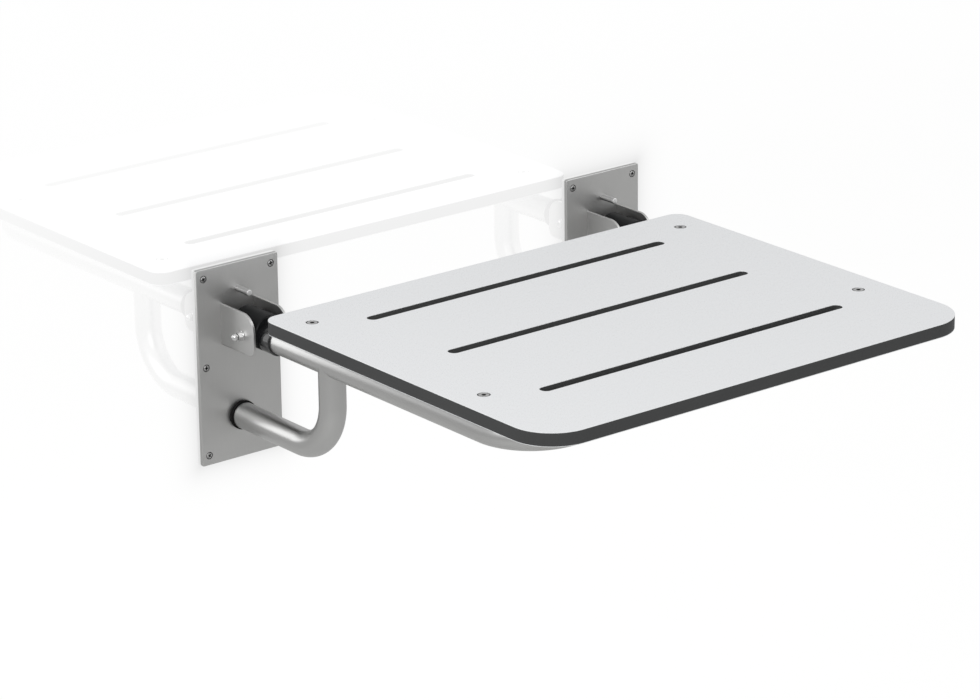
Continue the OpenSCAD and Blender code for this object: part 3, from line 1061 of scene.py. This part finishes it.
def alongTube(made, path, flatNormal):
    # keeps, for each point, its distance along the tube and round it, for the polishing lines
    up = Vector(flatNormal)
    steps = [b - a for a, b in zip(path, path[1:])]
    lengths = [0.0]
    for step in steps:
        lengths.append(lengths[-1] + step.length)
    values = []
    for vertex in made.data.vertices:
        spot = vertex.co / mm
        best = None
        for i, step in enumerate(steps):
            t = max(0.0, min(1.0, (spot - path[i]).dot(step) / step.length_squared))
            off = spot - path[i] - step * t
            if best is None or off.length_squared < best[0]:
                best = (off.length_squared, i, t, off)
        _, i, t, off = best
        across = steps[i].normalized().cross(up)
        turn = math.atan2(off.dot(up), off.dot(across))
        values += [(lengths[i] + steps[i].length * t) * mm, turn * layout["tubeR"] * mm, 0.0]
    store = made.data.attributes.new("grainPlace", "FLOAT_VECTOR", "POINT")
    store.data.foreach_set("vector", values)


def seatFrame():
    size = frameSizes
    path = framePath()
    bm = sweep(path, layout["tubeR"], (0, 0, 1), bore=layout["boreR"])
    made = asObject("seatFrame", bm)
    tools = []
    for side in sides.values():
        for out in size["screwOuts"]:
            spot = sideMatrix(side) @ spotAt(0, out, 0)
            tools.append(roundBar(size["screwR"], layout["tubeZ"], size["holeTop"], spot))
        below, top, end = size["sinkBelow"], size["sinkTop"], size["sinkEnd"]
        rings = [(below[0], 0), below, (layout["tubeZ"] - layout["tubeR"], size["sinkAtTube"])]
        rings += [top, (end, top[1]), (end, 0)]
        spot = sideMatrix(side) @ spotAt(0, blockSizes["screwOut"], 0)
        tools.append(asObject("sink", turned(rings, 48), spot))
    shape(made, tools)
    alongTube(made, path, (0, 0, 1))
    return dress(made, "tube", "seat", "seat_frame")


def supportLeg(name, side):
    place = sideMatrix(side)
    path = legPath()
    bm = sweep(path, layout["tubeR"], (1, 0, 0), bore=layout["boreR"])
    made = asObject(name + "SupportLeg", bm, place)
    spot = place @ spotAt(0, 0, layout["tubeZ"]) @ turnTo("out")
    shape(made, [roundBar(layout["tubeR"], *legSizes["copeOuts"], spot, 96)])
    alongTube(made, [place @ p for p in path], (1, 0, 0))
    return dress(made, "tube", "seat", name + "_support_leg")


capSizes = {
    "flangeR": 14.0,
    "flangeT": 4.0,
    "plugR": 11.1,
    "plugL": 20.0,
    "plugTip": 1.0,
    "plugTaper": 0.1,
    "gap": 0.2,  # between the cap and the wall plate
    "backRound": 1.2,
    "frontRound": 0.35,
    "hollow": 0.3,  # the middle of the back is sunk by this much
    "hollowR": 8.0,
    "hollowRim": 9.0,
}


def endCap(name, side):
    size = capSizes
    start = layout["plateFront"] + size["gap"]
    end, floor = start + size["flangeT"], start + size["hollow"]
    back, plug, tip = size["backRound"], size["plugR"], size["plugTip"]
    last = end + size["plugL"]
    rings = [(floor, 0), (floor, size["hollowR"]), (start, size["hollowRim"])]
    for t in spread(0, quarter, 7):
        rings.append((start + back * (1 - math.cos(t)), size["flangeR"] - back * (1 - math.sin(t))))
    rings += roundedEdge(size["flangeR"], end, size["frontRound"])
    rings += [(end, plug), (last - tip, plug - size["plugTaper"]), (last, plug - tip), (last, 0)]
    matrix = sideMatrix(side) @ spotAt(0, 0, layout["legZ"]) @ turnTo("out")
    made = asObject(name + "EndCap", turned(rings, 96), matrix)
    return dress(made, "rubber", "seat", name + "_end_cap")


bossSizes = {"radius": 7.0, "bore": 2.6, "edge": 0.3}


def boss(name, side, where, out):
    size = bossSizes
    low, high = layout["tubeZ"], layout["boardUnder"]
    r, bore, edge = size["radius"], size["bore"], size["edge"]
    rings = [(low, bore), (high, bore), (high, r - edge), (high - edge, r), (low, r)]
    spot = sideMatrix(side) @ spotAt(0, out, 0)
    made = asObject(f"{where}{name.title()}Boss", turned(rings, 64, closed=True), spot)
    path = framePath()
    half = path[: len(path) // 2] if side > 0 else path[len(path) // 2:]
    shape(made, [asObject("cope", sweep(half, layout["tubeR"], (0, 0, 1), 96, edge=0.0))])
    return dress(made, "sheet", "seat", f"{where}_{name}_boss")


seatFrame()
for name, side in sides.items():
    supportLeg(name, side)
    endCap(name, side)
    for where, out in zip(("rear", "front"), frameSizes["screwOuts"]):
        boss(name, side, where, out)
print("tube frame made")


boardSizes = {
    "width": 500.0,
    "rear": 84.0,
    "front": 492.0,
    "frontR": 42.0,
    "rearR": 15.0,
    "face": 0.6,
    "edge": 0.3,
    "slotW": 12.0,
    "slotL": 352.0,
    "slotOuts": (146.5, 266.0, 395.0),
    "recessR": 6.0,
    "recessDepth": 1.16,
    "recessEdge": 0.1,
    "sink": 1.44,  # depth of the countersink under each recess
    "boreR": 2.6,
}


def boardOutline():
    size = boardSizes
    x, front, rear = size["width"] / 2, -size["front"], -size["rear"]
    return roundedOutline([
        (-x, front, size["frontR"]), (x, front, size["frontR"]),
        (x, rear, size["rearR"]), (-x, rear, size["rearR"]),
    ], 32)


def boardLayer(name, low, finish, node, profile, holeProfile):
    size = boardSizes
    loops = [(boardOutline(), profile)]
    for out in size["slotOuts"]:
        loops.append((slotOpening(-out, size["slotL"], size["slotW"]), profile))
    for side in sides.values():
        for out in frameSizes["screwOuts"]:
            recess = circle(side * layout["hingeX"], -out, size["recessR"], 64)
            loops.append((recess, holeProfile))
    made = asObject(name, sheetSolid(loops), spotAt(0, 0, low))
    return dress(made, finish, "seat", node)


def seatBoard():
    size = boardSizes
    under, top, face, sink = layout["boardUnder"], layout["boardTop"], size["face"], size["sink"]
    core = top - under - 2 * face
    skin = softEdges(face * 2, size["edge"])
    narrow = size["recessR"] - size["boreR"]
    floor = core + face - size["recessDepth"]
    sunk = [(narrow, 0.0), (narrow, floor - sink), (narrow - sink, floor)]
    sunk += [(0.0, floor), (0.0, core)]
    topEdge = [(0.0, 0.0)] + [(growth, h - face) for growth, h in skin if h > face]
    lowEdge = [(growth, h) for growth, h in skin if h < face] + [(0.0, face)]
    rim = [(0.0, 0.0), (0.0, face - size["recessEdge"]), (-size["recessEdge"], face)]
    bore = [(narrow, 0.0), (narrow, face)]
    boardLayer("seatCore", under + face, "core", "seat_core", [(0.0, 0.0), (0.0, core)], sunk)
    boardLayer("seatTopFace", top - face, "laminate", "seat_top_face", topEdge, rim)
    boardLayer("seatBottomFace", under, "laminate", "seat_bottom_face", lowEdge, bore)


seatScrewSizes = {
    "headR": 4.9,
    "headT": 0.25,
    "headEdge": 0.3,
    "shankR": 2.5,
    "rootShare": 0.84,
    "pitch": 0.8,
    "threadFrom": 3.2,
    "threadSteps": 84,
    "length": 22.0,
    "sink": 0.2,  # below the board's top
    "key": 3.6,
    "keyDepth": 2.6,
    "keyTaper": 0.97,
    "keyEdge": 0.2,
    "keyMouth": 0.7,
    "drillTip": 0.5,
    "shadeFrom": 0.02,  # depth in the recess at which the painted shade starts
    "shadeOver": 0.2,
}


def seatScrews():
    size = seatScrewSizes
    rings = socketScrew(size)
    bm = bmesh.new()
    top = layout["boardTop"] - size["sink"]
    for side in sides.values():
        for out in frameSizes["screwOuts"]:
            mergeInto(bm, turned(rings, 48), spotAt(side * layout["hingeX"], out, top))
    made = asObject("seatScrews", bm)
    # painted shade in each hex socket, deepening with depth
    markPaintedShade(made, lambda spot: top - spot.z - size["shadeFrom"], size["shadeOver"])
    return dress(made, "screw", "seat", "seat_screws")


seatBoard()
seatScrews()
print("seat board made")


stageSizes = {"floorZ": -0.74, "wallHalf": 6.0, "wallTop": 4.0, "floorHalf": 8.0}


def flatPanel(name, corners, material):
    mesh = bpy.data.meshes.new(name)
    mesh.from_pydata(corners, [], [tuple(range(len(corners)))])
    mesh.materials.append(material)
    made = bpy.data.objects.new(name, mesh)
    scene.collection.objects.link(made)
    made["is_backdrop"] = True
    return made


def seenFromFront(graph, shader):
    # a panel that hides nothing when it is looked at from its back
    back = graph.node("ShaderNodeNewGeometry", {}, {}, out="Backfacing")
    clear = graph.node("ShaderNodeBsdfTransparent", {}, {})
    both = graph.node("ShaderNodeMixShader", {}, {0: back, 1: shader, 2: clear})
    graph.node("ShaderNodeOutputMaterial", {}, {"Surface": both})


wallLook = {
    "mirrorNear": 0.28,  # share that the glossy wall mirrors beside the plates
    "mirrorFar": 0.05,
    "fadeFrom": 0.05,  # heights between which the mirroring fades, in metres
    "fadeTo": 0.25,
    "mirrorRough": 0.03,
    "room": 0.56,  # what the wall mirrors where the seat isn't
    "plateShadow": 0.26,  # painted soft shadow where the plates meet the wall
    "plateShadowReach": 0.011,
}


def wallFinish():
    # white gloss wall: bright, with a weak mirror image and a painted soft shadow round each plate
    made, graph = newGraph("whiteWall")
    look = wallLook
    x, z = graph.axis(graph.place(), "X"), graph.axis(graph.place(), "Z")
    beside = abs(abs(x) - layout["hingeX"] * mm) - plateSizes["width"] / 2 * mm
    above = abs(z) - plateSizes["height"] / 2 * mm
    beside, above = beside.atLeast(0.0), above.atLeast(0.0)
    distance = (beside * beside + above * above) ** 0.5
    # painted shadow: darker near each plate's outline, fading with distance
    plateShadow = (distance * (-1 / look["plateShadowReach"])).exp()
    fade = ((z - look["fadeFrom"]) / (look["fadeTo"] - look["fadeFrom"])).clamp()
    mirror = look["mirrorNear"] - fade * (look["mirrorNear"] - look["mirrorFar"])
    glow = (1 - mirror * look["room"]) / (1 - mirror) - plateShadow * look["plateShadow"]
    white = graph.node("ShaderNodeEmission", {}, {"Color": glow, "Strength": 1.0})
    shine = {"Color": grey(1), "Roughness": look["mirrorRough"]}
    gloss = graph.node("ShaderNodeBsdfGlossy", {}, shine)
    seenFromFront(graph, graph.node("ShaderNodeMixShader", {}, {0: mirror, 1: white, 2: gloss}))
    return made


floorLook = {"dark": (0.64, 0.64, 0.635, 1), "light": (0.68, 0.68, 0.675, 1), "cloudScale": 3.0}


def floorFinish():
    made, graph = newGraph("paleFloor")
    cloud = graph.noise(graph.place(), floorLook["cloudScale"], 3.0)
    tone = graph.blend(cloud, floorLook["dark"], floorLook["light"])
    seenFromFront(graph, graph.node("ShaderNodeBsdfDiffuse", {}, {"Color": tone}))
    return made


w, d = stageSizes["wallHalf"], stageSizes["floorHalf"]
low, high = stageSizes["floorZ"], stageSizes["wallTop"]
wall = flatPanel("wall", [(-w, 0, low), (w, 0, low), (w, 0, high), (-w, 0, high)], wallFinish())
wall.visible_glossy = wall.visible_diffuse = wall.visible_transmission = wall.visible_shadow = False
flatPanel("floor", [(-d, -d, low), (d, -d, low), (d, d, low), (-d, d, low)], floorFinish())


# place, aim, width, height and power of each softbox, in metres and watts
lampSetup = {
    "key": ((-1.5, -0.8, 0.95), (0, -0.25, 0), 1.0, 1.0, 10),
    "window": ((-0.40, 0.15, 0.065), (-0.23, -0.08, 0.0), 0.13, 0.19, 0.09),
    "overhead": ((1.15, -0.9, 1.5), (0, -0.2, 0.05), 0.5, 0.5, 3.0),
}


def softbox(name, spot, aim, width, height, power):
    lamp = bpy.data.lights.new(name, "AREA")
    lamp.shape, lamp.size, lamp.size_y, lamp.energy = "RECTANGLE", width, height, power
    made = bpy.data.objects.new(name, lamp)
    made.location = spot
    made.rotation_mode = "QUATERNION"
    made.rotation_quaternion = (Vector(aim) - Vector(spot)).to_track_quat("-Z", "Y")
    made.visible_camera = False
    scene.collection.objects.link(made)


for name, setup in lampSetup.items():
    softbox(name, *setup)

skyLook = {
    "below": 0.60,
    "above": 0.80,
    "horizon": (0.49, 0.52),  # shares of the way up between which one turns to the other
    "behind": 0.80,  # share of the light that comes from beyond the wall
    "behindFull": 0.4,  # how far inward a direction points where that share is reached
    "windowsFull": 0.06,  # height at which the windows shine in full, from none at the horizon
}
# aim, the two nearnesses to it between which the glow grows, and the light that it adds: one
# window at the left beyond the wall, and one low at the front right, which the plates mirror
skyWindows = [
    ((-0.66, 0.735, 0.14), 0.90, 0.97, 0.12),
    ((0.60, -0.78, 0.16), 0.86, 0.97, 0.65),
]


def softSky():
    made = bpy.data.worlds.new("softStudio")
    made.use_nodes = True
    sky = Graph(made.node_tree)
    look = skyLook
    direction = sky.place("Generated")
    inward, height = sky.axis(direction, "Y"), sky.axis(direction, "Z")
    first, last = look["horizon"]
    even = sky.ramp(height * 0.5 + 0.5, (first, look["below"]), (last, look["above"]))
    tone = even * sky.ramp(inward, (0.0, 1.0), (look["behindFull"], look["behind"]))
    upper = sky.ramp(height, (0.0, 0.0), (look["windowsFull"], 1.0))
    for aim, start, full, level in skyWindows:
        tone = tone + sky.ramp(sky.dot(direction, aim), (start, 0.0), (full, 1.0)) * level * upper
    glow = sky.node("ShaderNodeBackground", {}, {"Color": tone, "Strength": 1.0})
    sky.node("ShaderNodeOutputWorld", {}, {"Surface": glow})
    scene.world = made


softSky()
print("stage and lights made")


cameraView = {
    "place": (-2.2524, -2.9679, 1.2637),
    "yaw": 0.6659,
    "pitch": 0.3372,
    "roll": -0.012,
    "lens": 150.0,
    "sensor": 36.0,
    "clip": (0.05, 50),
}


def aimCamera():
    view = cameraView
    yaw, pitch, roll = view["yaw"], view["pitch"], view["roll"]
    level = math.cos(pitch)
    forward = Vector((math.sin(yaw) * level, math.cos(yaw) * level, -math.sin(pitch)))
    right = Vector((math.cos(yaw), -math.sin(yaw), 0))
    up = right.cross(forward)
    tiltRight = right * math.cos(roll) + up * math.sin(roll)
    tiltUp = up * math.cos(roll) - right * math.sin(roll)
    lens = bpy.data.cameras.new("camera")
    lens.sensor_width, lens.lens = view["sensor"], view["lens"]
    lens.clip_start, lens.clip_end = view["clip"]
    made = bpy.data.objects.new("camera", lens)
    turn = Matrix((tiltRight, tiltUp, -forward)).transposed()
    made.matrix_world = Matrix.Translation(view["place"]) @ turn.to_4x4()
    scene.collection.objects.link(made)
    scene.camera = made


aimCamera()
print("camera placed")

low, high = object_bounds()
